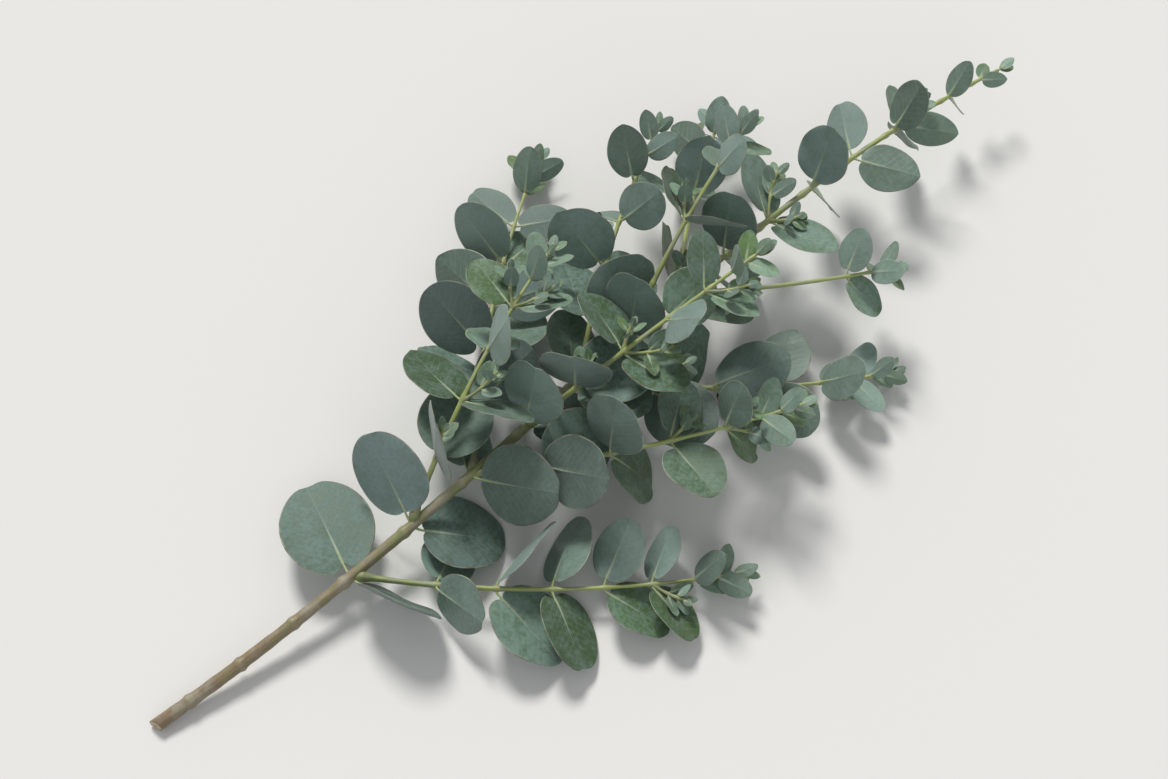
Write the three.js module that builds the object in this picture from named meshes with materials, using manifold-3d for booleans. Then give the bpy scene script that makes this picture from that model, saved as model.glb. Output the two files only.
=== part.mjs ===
// A cut eucalyptus branch that lies on a surface: one woody stem, its side twigs and its pairs of
// round leaves. Millimetres, +Z up. The surface is z = 0 and the stem runs along +Y, from its cut
// end to its growing tip. The origin is the middle of the branch's footprint.

import * as THREE from 'three';
import { mergeVertices } from 'three/addons/utils/BufferGeometryUtils.js';
import Module from 'manifold-3d';

const wasm = await Module();
wasm.setup();

// ---------------------------------------------------------------- driving dimensions

// The stem, as the four points of a Bezier curve, and its radius at the cut end and at the tip
const STEM_ROUTE = [[-14, -348, 4.2], [14, -112, 30], [-20, 112, 74], [14, 334, 42]];
const STEM_LENGTH = 680;
const STEM_RADII = [4, 1.1];
const TWIG_RADII = [1.8, 0.8];

// Where the leaf pairs sit, as shares of the stem's or the twig's length
const STEM_PAIRS = { count: 12, first: 0.2, last: 0.86, longest: 55, shortest: 33 };
const TWIG_PAIRS = { first: 0.19, last: 0.76, longest: 49, shortest: 33 };
const STEM_TURN = 8;

// Each side twig grows just above a leaf pair of the stem. Its heading is the angle from the
// stem's own direction, to the right or (below zero) to the left; climb is its angle above the
// level at its foot, and tip is the height that its far end comes to rest at.
const SIDE_TWIGS = [
  { abovePair: 0, heading: 48, climb: -2, length: 225, tip: 17, pairs: 5 },
  { abovePair: 1, heading: -26, climb: 30, length: 185, tip: 88, pairs: 4 },
  { abovePair: 2, heading: -48, climb: -4, length: 230, tip: 16, pairs: 5 },
  { abovePair: 2, heading: 40, climb: 12, length: 195, tip: 62, pairs: 4 },
  { abovePair: 3, heading: 15, climb: 33, length: 175, tip: 108, pairs: 4 },
  { abovePair: 4, heading: 46, climb: -10, length: 190, tip: 16, pairs: 4 },
  { abovePair: 4, heading: -38, climb: 8, length: 170, tip: 64, pairs: 4 },
  { abovePair: 5, heading: -20, climb: 30, length: 145, tip: 104, pairs: 3 },
  { abovePair: 6, heading: -44, climb: -10, length: 150, tip: 18, pairs: 3 },
  { abovePair: 6, heading: 42, climb: 6, length: 130, tip: 50, pairs: 2 },
];
const TWIG_REFERENCE_LENGTH = 190;
const TWIG_FORWARD = 0.25;
const TWIG_ABOVE_PAIR = 6;

// Small leaves at the growing tips: place on the axis, length and opening angle
const TIP_LEAVES = [
  { place: 0.87, length: 27, opening: 56 },
  { place: 0.93, length: 20, opening: 48 },
  { place: 0.97, length: 13, opening: 36 },
  { place: 0.995, length: 9, opening: 20 },
];

// A leaf's section is thickest at its midrib. The collar joins a pair around its twig.
const LEAF_THICKNESS = 0.9;
const PETIOLE_WIDTH = 1.6;
const PETIOLE_SHARE = 0.1;
const COLLAR_THICKNESS = 0.8;
const JOINT_GAP = 0.35;

// The room that each leaf keeps to other leaves, as a share of its length, and to the stems and
// the surface
const LEAF_ROOM = 0.085;
const STEM_GAP = 1.6;
const FLOOR_GAP = 0.7;

// What a growing leaf tries, in turn, until it has room
const TWISTS = [0, 12, -12, 24, -24, 36, -36, 50, -50, 65, -65];
const OPENING_STEPS = [0, -10, 10, -20, -30, -40];
const FACING_STEPS = [1, 0.6, 0.2];
const SHRINK_STEPS = [1, 0.86, 0.74, 0.6];

// ---------------------------------------------------------------- helpers

const UP = new THREE.Vector3(0, 0, 1);
const radians = THREE.MathUtils.degToRad;
const lerp = THREE.MathUtils.lerp;

let seed = 20;
function random() {
  seed = (seed * 1664525 + 1013904223) % 4294967296;
  return seed / 4294967296;
}

function between(low, high) {
  return lerp(low, high, random());
}

// The share of an axis where pair number index of count sits: the gaps shrink towards the tip
function pairPlace(places, count, index) {
  const u = count > 1 ? index / (count - 1) : 0;
  return lerp(places.first, places.last, u * (1.15 - 0.15 * u));
}

// The point of an axis at a place, with its direction, its level side and the side that faces up
function frameAt(axis, place) {
  const point = axis.curve.getPoint(place);
  const ahead = axis.curve.getTangent(place);
  const side = ahead.clone().cross(UP).normalize();
  const top = side.clone().cross(ahead);
  return { point, ahead, side, top, radius: lerp(axis.radii[0], axis.radii[1], place) };
}

// ---------------------------------------------------------------- stem and twigs

function makeStemAxis() {
  const points = STEM_ROUTE.map((point) => new THREE.Vector3(...point));
  return { name: 'main_stem', curve: new THREE.CubicBezierCurve3(...points), radii: STEM_RADII };
}

function makeTwigAxis(stem, twig, index) {
  const place = pairPlace(STEM_PAIRS, STEM_PAIRS.count, twig.abovePair);
  const foot = frameAt(stem, place + TWIG_ABOVE_PAIR / STEM_LENGTH);
  const level = foot.ahead.clone().setZ(0).normalize();
  const direction = level.clone().applyAxisAngle(UP, radians(-twig.heading));
  direction.multiplyScalar(Math.cos(radians(twig.climb)));
  direction.z = Math.sin(radians(twig.climb));
  const outward = direction.clone().addScaledVector(foot.ahead, -direction.dot(foot.ahead));
  const start = foot.point.clone().addScaledVector(
    outward.normalize(),
    foot.radius + JOINT_GAP + TWIG_RADII[0],
  );
  const middle = start.clone().addScaledVector(direction, twig.length / 2);
  const onward = direction.clone().addScaledVector(level, TWIG_FORWARD).normalize();
  const end = start.clone().addScaledVector(onward, twig.length).setZ(twig.tip);
  return {
    name: `side_twig_${String(index + 1).padStart(2, '0')}`,
    curve: new THREE.QuadraticBezierCurve3(start, middle, end),
    radii: TWIG_RADII,
  };
}

// ---------------------------------------------------------------- leaves

// Half the width of a leaf at a share of its blade: nearly round, fullest below the middle
function halfWidth(leaf, share) {
  const inside = Math.max(0, Math.min(1, share));
  return (leaf.width / 2) * Math.sqrt(4 * inside * (1 - inside)) * (1.12 - 0.28 * inside);
}

// How far the blade stands off its flat plane: folded along the midrib, and bent along its length
function rise(leaf, share, across) {
  return leaf.fold * Math.abs(across) + leaf.bend * leaf.length * share * share;
}

function leafPoint(leaf, share, acrossShare) {
  const across = acrossShare * halfWidth(leaf, share);
  return leaf.base
    .clone()
    .addScaledVector(leaf.axis, leaf.petiole + share * leaf.length)
    .addScaledVector(leaf.side, across)
    .addScaledVector(leaf.face, rise(leaf, share, across));
}

// A leaf at a node: opening is its angle from the twig, and facing turns its blade from square
// across the twig (0) to level (1), as leaves turn to the light
function makeLeaf(node, turn, size, opening, facing, reach) {
  const outward = node.side.clone().multiplyScalar(Math.cos(turn));
  outward.addScaledVector(node.top, Math.sin(turn));
  const axis = node.ahead.clone().multiplyScalar(Math.cos(opening));
  axis.addScaledVector(outward, Math.sin(opening));
  const inner = node.ahead.clone().multiplyScalar(Math.sin(opening));
  inner.addScaledVector(outward, -Math.cos(opening));
  const light = UP.clone().multiplyScalar(inner.z < 0 ? -1 : 1);
  light.addScaledVector(axis, -light.dot(axis)).normalize();
  const sweep = Math.atan2(inner.clone().cross(light).dot(axis), inner.dot(light));
  const face = inner.applyAxisAngle(axis, sweep * facing);
  return {
    ...size,
    base: node.point.clone().addScaledVector(outward, reach),
    axis,
    face,
    side: face.clone().cross(axis),
    petiole: Math.max(2.5, size.length * PETIOLE_SHARE),
  };
}

// Points spread over a leaf, which stand for it when its neighbours look for room
function leafSamples(leaf) {
  const samples = [leaf.base.clone().addScaledVector(leaf.axis, leaf.petiole * 0.7)];
  for (const share of [0.06, 0.22, 0.4, 0.58, 0.76, 0.92]) {
    for (const across of [-1, -0.67, -0.33, 0, 0.33, 0.67, 1]) {
      samples.push(leafPoint(leaf, share, across));
    }
  }
  samples.push(leafPoint(leaf, 1, 0));
  return samples;
}

// Whether a point comes closer to the blade of a leaf than the gap
function isNearBlade(leaf, point, gap) {
  const offset = point.clone().sub(leaf.base);
  const share = (offset.dot(leaf.axis) - leaf.petiole) / leaf.length;
  const margin = gap / leaf.length;
  if (share < -margin || share > 1 + margin) {
    return false;
  }
  const across = Math.abs(offset.dot(leaf.side));
  if (across > halfWidth(leaf, share) + gap) {
    return false;
  }
  return Math.abs(offset.dot(leaf.face) - rise(leaf, share, across)) < gap;
}

// ---------------------------------------------------------------- growth

const placedLeaves = [];
const stemPoints = [];

function occupyAxis(axis, length) {
  const steps = Math.round(length / 3);
  for (let i = 0; i <= steps; i++) {
    const node = frameAt(axis, i / steps);
    stemPoints.push({ axis, point: node.point, gap: node.radius + STEM_GAP });
  }
}

// Whether a leaf keeps clear of the surface, of the other leaves and of every stem, apart from
// the one that it is joined to
function hasRoom(leaf, samples, joinedTo) {
  if (samples.some((point) => point.z < FLOOR_GAP)) {
    return false;
  }
  const others = stemPoints.filter((stem) => stem.axis !== joinedTo);
  if (others.some((stem) => isNearBlade(leaf, stem.point, stem.gap))) {
    return false;
  }
  const gap = LEAF_ROOM * leaf.length;
  const middle = leafPoint(leaf, 0.5, 0);
  return placedLeaves.every(
    (other) =>
      other.middle.distanceTo(middle) > other.leaf.length + leaf.length ||
      (!other.samples.some((point) => isNearBlade(leaf, point, gap)) &&
        !samples.some((point) => isNearBlade(other.leaf, point, gap))),
  );
}

// The first way to grow a leaf that has room, or null
function findLeaf(node, turn, habit, shrink, reach, joinedTo) {
  const size = { ...habit, length: habit.length * shrink, width: habit.width * shrink };
  for (const step of OPENING_STEPS) {
    for (const facing of FACING_STEPS) {
      const opening = radians(habit.opening + step);
      const leaf = makeLeaf(node, turn, size, opening, habit.facing * facing, reach);
      const samples = leafSamples(leaf);
      if (hasRoom(leaf, samples, joinedTo)) {
        return { leaf, samples, middle: leafPoint(leaf, 0.5, 0) };
      }
    }
  }
  return null;
}

// The size and habit of one leaf before it looks for room
function drawHabit(length, roundness, opening) {
  const ownLength = length * between(0.93, 1.07);
  return {
    length: ownLength,
    width: ownLength * roundness * between(0.92, 1.05),
    opening: opening + between(-9, 9),
    facing: between(0.45, 1),
    fold: between(0.04, 0.2),
    bend: between(-0.12, 0.1),
  };
}

// Two leaves on opposite sides of a node, turned and shrunk until both have room
function growPair(node, turn, length, roundness, opening, reach, joinedTo) {
  const habits = [drawHabit(length, roundness, opening), drawHabit(length, roundness, opening)];
  for (const shrink of SHRINK_STEPS) {
    for (const twist of TWISTS) {
      const angle = radians(turn + twist);
      const first = findLeaf(node, angle, habits[0], shrink, reach, joinedTo);
      if (!first) {
        continue;
      }
      const others = joinedTo ? [] : [first];
      placedLeaves.push(...others);
      const second = findLeaf(node, angle + Math.PI, habits[1], shrink, reach, joinedTo);
      placedLeaves.length -= others.length;
      if (second) {
        placedLeaves.push(first, second);
        return [first.leaf, second.leaf];
      }
    }
  }
  return null;
}

function growAxisPairs(axis, places, count, scale, turn) {
  const pairs = [];
  for (let i = 0; i < count; i++) {
    const age = count > 1 ? i / (count - 1) : 0;
    const node = frameAt(axis, pairPlace(places, count, i));
    const length = lerp(places.longest, places.shortest, age) * scale;
    const reach = node.radius + JOINT_GAP + COLLAR_THICKNESS;
    const leaves = growPair(
      node,
      turn + 90 * i + between(-12, 12),
      length,
      lerp(0.98, 0.84, age),
      lerp(72, 58, age),
      reach,
    );
    if (leaves) {
      pairs.push({ node, leaves });
    }
  }
  return pairs;
}

function growTipLeaves(axis, scale, turn) {
  const leaves = [];
  TIP_LEAVES.forEach((tip, i) => {
    const node = frameAt(axis, tip.place);
    const pair = growPair(node, turn + 90 * i, tip.length * scale, 0.66, tip.opening, 0, axis);
    if (pair) {
      leaves.push(...pair);
    }
  });
  return leaves;
}

// ---------------------------------------------------------------- solids

// The outline of each leaf in rows, from the foot of its stalk to its tip: distance from its base,
// half width and half thickness
function leafRows(leaf, bladeShares) {
  const rows = [
    { along: 0, width: 0, thickness: 0 },
    { along: leaf.petiole * 0.35, width: PETIOLE_WIDTH / 2, thickness: LEAF_THICKNESS / 2 },
    { along: leaf.petiole, width: PETIOLE_WIDTH / 2, thickness: LEAF_THICKNESS / 2 },
  ];
  for (const share of bladeShares) {
    rows.push({
      along: leaf.petiole + share * leaf.length,
      width: halfWidth(leaf, share),
      thickness: LEAF_THICKNESS / 2,
    });
  }
  rows.push({ along: leaf.petiole + leaf.length, width: 0, thickness: 0 });
  return rows;
}

// A sphere with four sides, pressed flat: its rings become the rows of the leaf. A ring holds one
// more point than it has sides, because it ends where it starts.
function leafGeometry(leaf, bladeShares) {
  const rows = leafRows(leaf, bladeShares);
  const sides = 4;
  const geometry = new THREE.SphereGeometry(1, sides, rows.length - 1);
  const position = geometry.getAttribute('position');
  const point = new THREE.Vector3();
  for (let i = 0; i < position.count; i++) {
    const row = rows[Math.floor(i / (sides + 1))];
    const around = ((i % (sides + 1)) / sides) * 2 * Math.PI;
    const across = -Math.cos(around) * row.width;
    const share = Math.max(0, (row.along - leaf.petiole) / leaf.length);
    point.copy(leaf.base).addScaledVector(leaf.axis, row.along);
    point.addScaledVector(leaf.side, across);
    point.addScaledVector(leaf.face, rise(leaf, share, across) + Math.sin(around) * row.thickness);
    position.setXYZ(i, point.x, point.y, point.z);
  }
  return geometry;
}

// A closed cylinder whose rings follow the axis and thin towards its tip
function axisGeometry(axis, sides, steps) {
  const geometry = new THREE.CylinderGeometry(axis.radii[1], axis.radii[0], 1, sides, steps);
  const position = geometry.getAttribute('position');
  const point = new THREE.Vector3();
  for (let i = 0; i < position.count; i++) {
    const node = frameAt(axis, position.getY(i) + 0.5);
    point.copy(node.point).addScaledVector(node.side, position.getX(i));
    point.addScaledVector(node.top, position.getZ(i));
    position.setXYZ(i, point.x, point.y, point.z);
  }
  return geometry;
}

// The ring that joins the two leaves of a pair around their twig
function collarGeometry(node) {
  const sides = 8;
  const inner = (node.radius + JOINT_GAP) / Math.cos(Math.PI / sides);
  const geometry = new THREE.TorusGeometry(inner + COLLAR_THICKNESS, COLLAR_THICKNESS, 4, sides);
  const basis = new THREE.Matrix4().makeBasis(node.side, node.top, node.ahead.clone().negate());
  geometry.applyMatrix4(basis.setPosition(node.point));
  return geometry;
}

function toSolid(geometry) {
  const bare = new THREE.BufferGeometry();
  bare.setAttribute('position', geometry.getAttribute('position'));
  bare.setIndex(geometry.getIndex());
  const merged = mergeVertices(bare, 1e-4);
  return new wasm.Manifold(
    new wasm.Mesh({
      numProp: 3,
      vertProperties: merged.getAttribute('position').array,
      triVerts: merged.getIndex().array,
    }),
  );
}

// Joins closed geometries that grow out of one another into one closed geometry
function join(geometries) {
  const mesh = geometries.map(toSolid).reduce((whole, next) => whole.add(next)).getMesh();
  const geometry = new THREE.BufferGeometry();
  geometry.setAttribute('position', new THREE.BufferAttribute(mesh.vertProperties, 3));
  geometry.setIndex(new THREE.BufferAttribute(mesh.triVerts, 1));
  geometry.computeVertexNormals();
  return geometry;
}

// ---------------------------------------------------------------- the branch

const BLADE_ROWS = [0.1, 0.3, 0.52, 0.74, 0.91];
const TIP_BLADE_ROWS = [0.3, 0.7];

const branch = new THREE.Group();

function addMesh(name, geometry, color) {
  const material = new THREE.MeshStandardMaterial({ color, roughness: 0.7, metalness: 0 });
  const mesh = new THREE.Mesh(geometry, material);
  mesh.name = name;
  branch.add(mesh);
}

const stem = makeStemAxis();
const twigs = SIDE_TWIGS.map((twig, index) => makeTwigAxis(stem, twig, index));
occupyAxis(stem, STEM_LENGTH);
twigs.forEach((twig, index) => occupyAxis(twig, SIDE_TWIGS[index].length));

const pairs = growAxisPairs(stem, STEM_PAIRS, STEM_PAIRS.count, 1, STEM_TURN);
const stemTip = growTipLeaves(stem, 1.2, STEM_TURN);
const twigTips = twigs.map((twig, index) => {
  const { length, pairs: count } = SIDE_TWIGS[index];
  const scale = Math.min(1.05, Math.sqrt(length / TWIG_REFERENCE_LENGTH));
  const turn = between(0, 90);
  pairs.push(...growAxisPairs(twig, TWIG_PAIRS, count, scale, turn));
  return growTipLeaves(twig, scale, turn + 90 * count);
});

function axisWithTip(axis, leaves, sides, steps) {
  const tips = leaves.map((leaf) => leafGeometry(leaf, TIP_BLADE_ROWS));
  return join([axisGeometry(axis, sides, steps), ...tips]);
}

addMesh(stem.name, axisWithTip(stem, stemTip, 9, 26), 0x7d7f5a);
twigs.forEach((twig, index) => {
  addMesh(twig.name, axisWithTip(twig, twigTips[index], 6, 10), 0x8b9a5c);
});
pairs.forEach((pair, index) => {
  const blades = pair.leaves.map((leaf) => leafGeometry(leaf, BLADE_ROWS));
  const name = `leaf_pair_${String(index + 1).padStart(2, '0')}`;
  addMesh(name, join([collarGeometry(pair.node), ...blades]), 0x6c8077);
});

export default branch;
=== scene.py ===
"""A cut eucalyptus branch that lies on a pale table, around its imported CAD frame.

The branch grows here by the same rules, and to the same millimetres, as the CAD part: the stem's
route, the side twigs, and leaf pairs that turn and shrink until they have room. Each leaf, twig and
the stem is then a detailed mesh in the place of its plain CAD solid.
"""

from math import atan2, cos, pi, radians, sin, sqrt
from types import SimpleNamespace

import bpy
import numpy as np
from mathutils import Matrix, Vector


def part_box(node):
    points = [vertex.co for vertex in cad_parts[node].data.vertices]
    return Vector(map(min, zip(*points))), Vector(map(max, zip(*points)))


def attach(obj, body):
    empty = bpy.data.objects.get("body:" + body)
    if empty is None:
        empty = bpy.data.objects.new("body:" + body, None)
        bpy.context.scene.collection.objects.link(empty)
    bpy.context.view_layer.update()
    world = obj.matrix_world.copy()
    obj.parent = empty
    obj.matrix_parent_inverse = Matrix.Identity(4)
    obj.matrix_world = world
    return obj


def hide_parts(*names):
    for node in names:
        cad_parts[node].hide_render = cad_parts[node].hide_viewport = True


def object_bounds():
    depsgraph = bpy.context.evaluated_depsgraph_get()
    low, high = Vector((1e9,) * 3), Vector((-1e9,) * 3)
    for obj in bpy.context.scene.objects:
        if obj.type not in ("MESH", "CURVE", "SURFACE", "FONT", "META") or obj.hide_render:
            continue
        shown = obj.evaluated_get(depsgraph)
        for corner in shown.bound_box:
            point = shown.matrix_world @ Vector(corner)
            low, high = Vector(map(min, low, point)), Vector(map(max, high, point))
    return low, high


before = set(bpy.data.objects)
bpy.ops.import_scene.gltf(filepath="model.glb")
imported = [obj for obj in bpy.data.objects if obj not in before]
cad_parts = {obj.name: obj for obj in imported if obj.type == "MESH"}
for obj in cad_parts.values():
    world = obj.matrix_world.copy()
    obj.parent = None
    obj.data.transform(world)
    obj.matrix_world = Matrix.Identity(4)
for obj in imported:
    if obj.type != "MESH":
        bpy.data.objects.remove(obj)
CAD_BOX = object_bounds()

MM = 0.001

# ---- the branch's dimensions, in mm

# The stem, as the four points of a Bezier curve, and its radii at the cut end and at the tip
STEM_ROUTE = [(-14, -348, 4.2), (14, -112, 30), (-20, 112, 74), (14, 334, 42)]
STEM_LENGTH = 680
STEM_RADII = (4, 1.1)
TWIG_RADII = (1.8, 0.8)

# Where leaf pairs sit, as shares of an axis, and how long their leaves are
STEM_PAIRS = {"count": 12, "first": 0.2, "last": 0.86, "longest": 55, "shortest": 33}
TWIG_PAIRS = {"first": 0.19, "last": 0.76, "longest": 49, "shortest": 33}
STEM_TURN = 8

# Each side twig: the pair of the stem that it grows above, its heading from the stem's direction,
# its climb, its length, the height that its tip comes to rest at, and its number of leaf pairs
SIDE_TWIGS = [
    (0, 48, -2, 225, 17, 5),
    (1, -26, 30, 185, 88, 4),
    (2, -48, -4, 230, 16, 5),
    (2, 40, 12, 195, 62, 4),
    (3, 15, 33, 175, 108, 4),
    (4, 46, -10, 190, 16, 4),
    (4, -38, 8, 170, 64, 4),
    (5, -20, 30, 145, 104, 3),
    (6, -44, -10, 150, 18, 3),
    (6, 42, 6, 130, 50, 2),
]
TWIG_REFERENCE_LENGTH = 190
TWIG_FORWARD = 0.25
TWIG_ABOVE_PAIR = 6
LARGEST_TWIG_SCALE = 1.05

# From an axis's lowest pair to its highest: how wide leaves are for their length, and how far
# they open, in degrees. Then how a leaf's outline narrows from its foot to its tip
PAIR_ROUNDNESS = (0.98, 0.84)
PAIR_OPENING = (72, 58)
FOOT_WIDTH = 1.12
WIDTH_TAPER = 0.28

# The young leaves at a growing tip: place on the axis, length, opening angle
TIP_LEAVES = [(0.87, 27, 56), (0.93, 20, 48), (0.97, 13, 36), (0.995, 9, 20)]
TIP_ROUNDNESS = 0.66
STEM_TIP_SCALE = 1.2

# Short shoots in the corners between leaves and twigs. They are only here, not in the CAD part
SHOOT_LEAVES = [(0.45, 17, 60), (0.75, 13, 50), (0.97, 9, 30)]
SHOOT_CHANCE = 0.45
SHOOT_LENGTHS = (10, 30)
SHOOT_RADII = (0.85, 0.55)
SHOOT_ABOVE_PAIR = 2.2
SHOOT_FORWARD = 0.25
SHOOT_UP = 0.15
SHOOT_FLOOR_GAP = 4

PETIOLE_SHARE = 0.1
COLLAR_THICKNESS = 0.8
JOINT_GAP = 0.35

# The room that a leaf keeps to other leaves, as a share of its length, to stems and to the surface
LEAF_ROOM = 0.085
STEM_GAP = 1.6
FLOOR_GAP = 0.7

# What a growing leaf tries, in turn, until it has room
TWISTS = (0, 12, -12, 24, -24, 36, -36, 50, -50, 65, -65)
OPENING_STEPS = (0, -10, 10, -20, -30, -40)
FACING_STEPS = (1, 0.6, 0.2)
SHRINK_STEPS = (1, 0.86, 0.74, 0.6)

# How young a leaf looks, from 0 to 1: the highest pair of an axis, and the pairs at its tip
PAIR_YOUTH = 0.3
TIP_YOUTH = 0.45
TIP_YOUTH_STEP = 0.18

GROWTH_SEED = 20
SHAPE_SEED = 7
FRAME_TOLERANCE = 0.002

UP = np.array((0.0, 0.0, 1.0))


# ---- growth, as in the CAD part

class Draws:
    """Repeatable random numbers: the same ones as the CAD part's."""

    def __init__(self, seed):
        self.seed = seed

    def random(self):
        self.seed = (self.seed * 1664525 + 1013904223) % 4294967296
        return self.seed / 4294967296

    def between(self, low, high):
        return lerp(low, high, self.random())


growth = Draws(GROWTH_SEED)
shapes = Draws(SHAPE_SEED)


def lerp(low, high, share):
    return (1 - share) * low + share * high


def unit(vector):
    return vector / sqrt(vector @ vector)


def bezier(points, t):
    """A point of a Bezier curve of any degree."""
    points = [np.asarray(point, float) for point in points]
    while len(points) > 1:
        points = [(1 - t) * a + t * b for a, b in zip(points, points[1:])]
    return points[0]


def pair_place(places, count, index):
    """Where a leaf pair sits: the gaps shrink towards the tip."""
    u = index / (count - 1) if count > 1 else 0
    return lerp(places["first"], places["last"], u * (1.15 - 0.15 * u))


def frame_at(axis, place):
    """The point of an axis at a place, with its direction, level side and upper side."""
    low = max(0, place - 0.0001)
    high = min(1, place + 0.0001)
    ahead = unit(bezier(axis.route, high) - bezier(axis.route, low))
    side = unit(np.cross(ahead, UP))
    return SimpleNamespace(
        place=place, point=bezier(axis.route, place), radius=lerp(*axis.radii, place),
        ahead=ahead, side=side, top=np.cross(side, ahead),
    )


def make_stem_axis():
    return SimpleNamespace(
        name="main_stem", route=STEM_ROUTE, radii=STEM_RADII, length=STEM_LENGTH,
        foot=None, reference=np.array((1.0, 0.0, 0.0)),
    )


def turned(level, heading, climb):
    """A level direction turned to the right and up, in degrees."""
    turn = radians(-heading)
    lift = radians(climb)
    flat = level * cos(turn) + np.cross(UP, level) * sin(turn)
    return flat * cos(lift) + UP * sin(lift)


def make_side_axis(name, foot, outward, direction, lean, length, radii, gap=0):
    """An axis that leaves another one in a direction, and then leans away from it."""
    start = foot.point + outward * (foot.radius + gap + radii[0])
    middle = start + direction * length / 2
    end = start + unit(direction + lean) * length
    return SimpleNamespace(
        name=name, route=[start, middle, end], radii=radii, length=length,
        foot=foot, reference=unit(np.cross(foot.ahead, outward)),
    )


def make_twig_axis(stem, index):
    above_pair, heading, climb, length, tip, _ = SIDE_TWIGS[index]
    place = pair_place(STEM_PAIRS, STEM_PAIRS["count"], above_pair)
    foot = frame_at(stem, place + TWIG_ABOVE_PAIR / STEM_LENGTH)
    level = unit(foot.ahead * (1, 1, 0))
    direction = turned(level, heading, climb)
    outward = unit(direction - foot.ahead * (direction @ foot.ahead))
    name = f"side_twig_{index + 1:02d}"
    lean = TWIG_FORWARD * level
    twig = make_side_axis(name, foot, outward, direction, lean, length, TWIG_RADII, JOINT_GAP)
    twig.route[-1][2] = tip
    return twig


def dot(a, b):
    return (a * b).sum(-1)


def half_width(leaf, share):
    inside = np.clip(share, 0, 1)
    outline = np.sqrt(4 * inside * (1 - inside))
    return leaf.width / 2 * outline * (FOOT_WIDTH - WIDTH_TAPER * inside)


def rise(leaf, share, across):
    """How far a folded and bent blade stands out from its plane."""
    return leaf.fold * np.abs(across) + leaf.bend * leaf.length * share * share


def leaf_points(leaf, share, across_share):
    """Points of a blade at arrays of shares along it and across it."""
    across = across_share * half_width(leaf, share)
    return (
        leaf.base
        + np.multiply.outer(leaf.petiole + share * leaf.length, leaf.axis)
        + np.multiply.outer(across, leaf.side)
        + np.multiply.outer(rise(leaf, share, across), leaf.face)
    )


def leaf_face(axis, inner, facing):
    """The direction that a blade faces: turned about its midrib from the twig to the light."""
    light = UP * (-1 if inner[2] < 0 else 1)
    light = unit(light - axis * (light @ axis))
    sweep = atan2(np.cross(inner, light) @ axis, inner @ light) * facing
    return inner * cos(sweep) + np.cross(axis, inner) * sin(sweep)


def leaf_middle(leaf):
    return leaf_points(leaf, np.array(0.5), np.array(0.0))


def make_leaf(node, turn, habit, shrink, opening, facing, reach):
    outward = node.side * cos(turn) + node.top * sin(turn)
    axis = node.ahead * cos(opening) + outward * sin(opening)
    inner = node.ahead * sin(opening) - outward * cos(opening)
    face = leaf_face(axis, inner, facing)
    length = habit["length"] * shrink
    return SimpleNamespace(
        length=length, width=habit["width"] * shrink, fold=habit["fold"], bend=habit["bend"],
        base=node.point + outward * reach, axis=axis, face=face, side=np.cross(face, axis),
        petiole=max(2.5, length * PETIOLE_SHARE), node=node, reach=reach, outward=outward,
    )


SAMPLE_ROWS = (0.06, 0.22, 0.4, 0.58, 0.76, 0.92)
SAMPLE_COLUMNS = (-1, -0.67, -0.33, 0, 0.33, 0.67, 1)
SAMPLE_SHARES = np.append(np.repeat(SAMPLE_ROWS, len(SAMPLE_COLUMNS)), 1.0)
SAMPLE_ACROSS = np.append(np.tile(SAMPLE_COLUMNS, len(SAMPLE_ROWS)), 0.0)


def leaf_samples(leaf):
    """Points that stand for a leaf when its neighbours look for room."""
    stalk = leaf.base + leaf.axis * (leaf.petiole * 0.7)
    return np.vstack((stalk, leaf_points(leaf, SAMPLE_SHARES, SAMPLE_ACROSS)))


def is_near_blade(leaf, points, gap):
    """Whether any point is closer than the gap to a leaf's blade, or to stacked leaves."""
    offset = points - leaf.base
    share = (dot(offset, leaf.axis) - leaf.petiole) / leaf.length
    margin = gap / leaf.length
    across = np.abs(dot(offset, leaf.side))
    height = np.abs(dot(offset, leaf.face) - rise(leaf, share, across))
    inside = (share >= -margin) & (share <= 1 + margin)
    inside &= across <= half_width(leaf, share) + gap
    return bool(np.any(inside & (height < gap)))


class Crowd:
    """The leaves that have been placed, stacked so that one sum tests them all."""

    KEYS = ("length", "width", "fold", "bend", "petiole", "base", "axis", "side", "face")

    def __init__(self):
        self.found = []

    def stack(self):
        self.samples = np.array([one.samples for one in self.found])
        self.middles = np.array([one.middle for one in self.found])
        self.stacked = {
            key: np.array([[getattr(one.leaf, key)] for one in self.found]) for key in self.KEYS
        }

    def add(self, *found):
        self.found.extend(found)
        self.stack()

    def remove_last(self):
        self.found.pop()
        self.stack()

    def is_clear_of(self, new):
        if not self.found:
            return True
        reach = self.stacked["length"][:, 0] + new.leaf.length
        near = np.linalg.norm(self.middles - new.middle, axis=1) <= reach
        if not near.any():
            return True
        gap = LEAF_ROOM * new.leaf.length
        if is_near_blade(new.leaf, self.samples[near].reshape(-1, 3), gap):
            return False
        others = SimpleNamespace(**{key: values[near] for key, values in self.stacked.items()})
        return not is_near_blade(others, new.samples, gap)


crowd = Crowd()
stem_points = {}


def occupy_axis(axis):
    """Notes the points along an axis, and the room that leaves keep to each."""
    steps = round(axis.length / 3)
    nodes = [frame_at(axis, i / steps) for i in range(steps + 1)]
    points = np.array([node.point for node in nodes])
    gaps = np.array([node.radius + STEM_GAP for node in nodes])
    stem_points[axis.name] = (points, gaps)


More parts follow.
